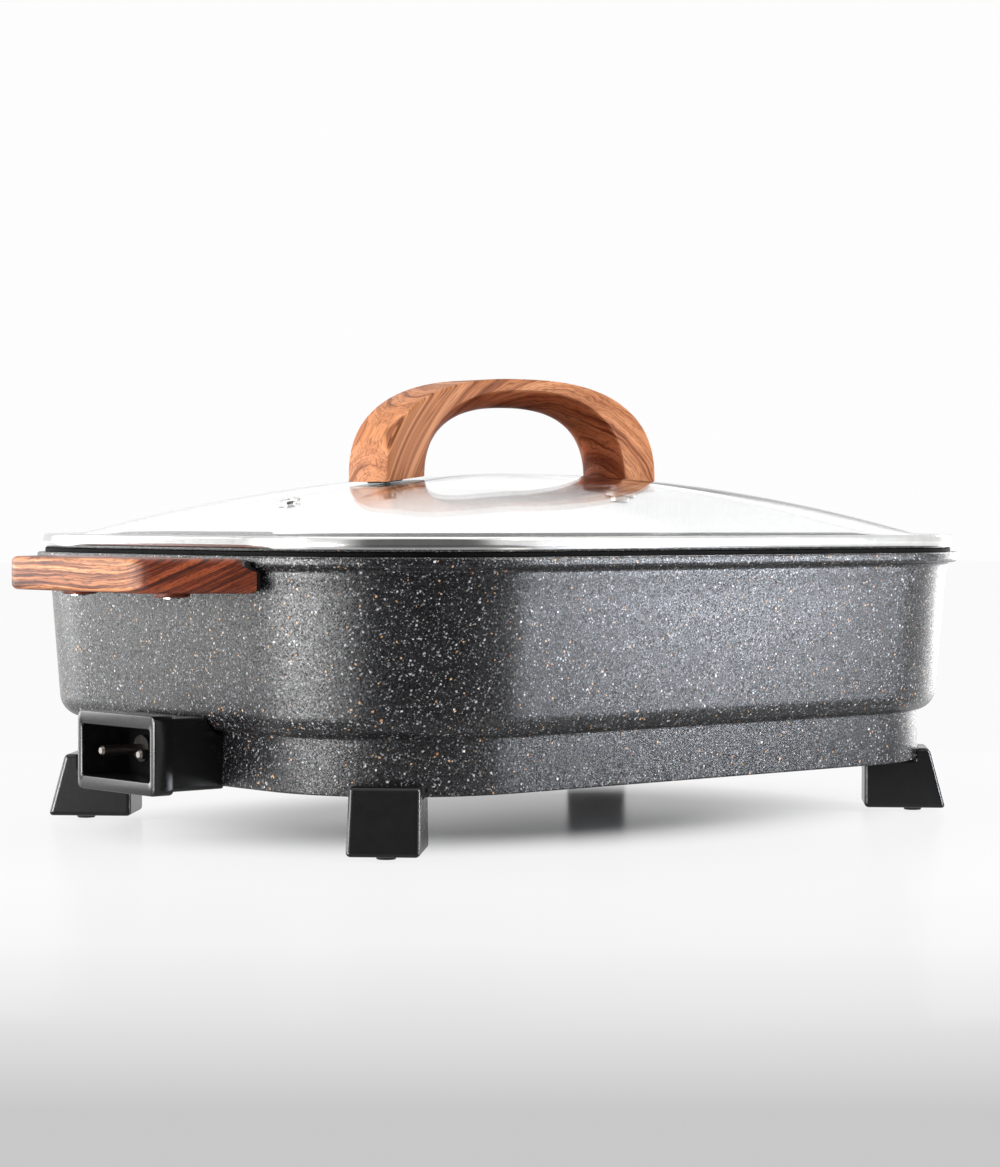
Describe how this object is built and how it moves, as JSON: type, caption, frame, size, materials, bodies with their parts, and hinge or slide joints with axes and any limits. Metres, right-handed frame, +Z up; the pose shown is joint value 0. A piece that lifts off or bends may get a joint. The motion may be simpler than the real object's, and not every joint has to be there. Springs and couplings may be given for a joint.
{
  "type": "electric pan",
  "caption": "Deep rectangular electric pan with rounded corners on moulded feet, wing side handles, a control socket and a lift-off domed glass lid with an arched handle.",
  "frame": {"origin": "middle of the overall box, on the floor under the feet's rubber studs", "axes": "+X along the pan's length, away from the control socket; +Y across the pan; +Z up"},
  "size_m": [0.479, 0.3, 0.2013],
  "materials": {
    "stone_coating": "cast aluminium with a dark stone-fleck coating, satin",
    "element_sheath": "dull sheath",
    "contact_steel": "dull dark plating",
    "ceramic_bush": "dark glazed ceramic",
    "black_moulding": "glossy heat-proof moulding",
    "stud_rubber": "matt",
    "screw_steel": "plain steel",
    "wood_grip": "heat-proof moulding with a dark wood-grain face, satin",
    "wood_arch": "heat-proof moulding with a wood-grain face, satin",
    "heat_guard": "matt black",
    "lid_glass": "clear tempered glass",
    "rim_steel": "polished steel"
  },
  "bodies": {
    "base": {"pan_body": "stone_coating", "base_skirt": "stone_coating", "element_rib": "stone_coating", "foot_bosses": "stone_coating", "left_handle_lugs": "stone_coating", "right_handle_lugs": "stone_coating", "heating_element": "element_sheath", "terminal_pin_front": "contact_steel", "terminal_pin_rear": "contact_steel", "terminal_bushes": "ceramic_bush", "terminal_block": "black_moulding", "probe_sleeve": "contact_steel", "socket_shroud": "black_moulding", "socket_screws": "screw_steel", "foot_front_left": "black_moulding", "foot_front_right": "black_moulding", "foot_rear_left": "black_moulding", "foot_rear_right": "black_moulding", "foot_stud_front_left": "stud_rubber", "foot_stud_front_right": "stud_rubber", "foot_stud_rear_left": "stud_rubber", "foot_stud_rear_right": "stud_rubber", "foot_screws": "screw_steel", "left_handle": "wood_grip", "right_handle": "wood_grip", "left_handle_guard": "heat_guard", "right_handle_guard": "heat_guard", "left_handle_screws": "screw_steel", "right_handle_screws": "screw_steel"},
    "lid": {"lid_glass": "lid_glass", "lid_rim": "rim_steel", "vent_eyelet": "rim_steel", "lid_handle": "wood_arch", "lid_handle_washers": "heat_guard", "lid_clamp_washers": "screw_steel", "lid_handle_screws": "screw_steel"}
  },
  "joints": [
    {"name": "lid_lift", "type": "slide", "parent": "base", "child": "lid", "axis": [0, 0, 1], "range_m": [0, 0.16]}
  ]
}
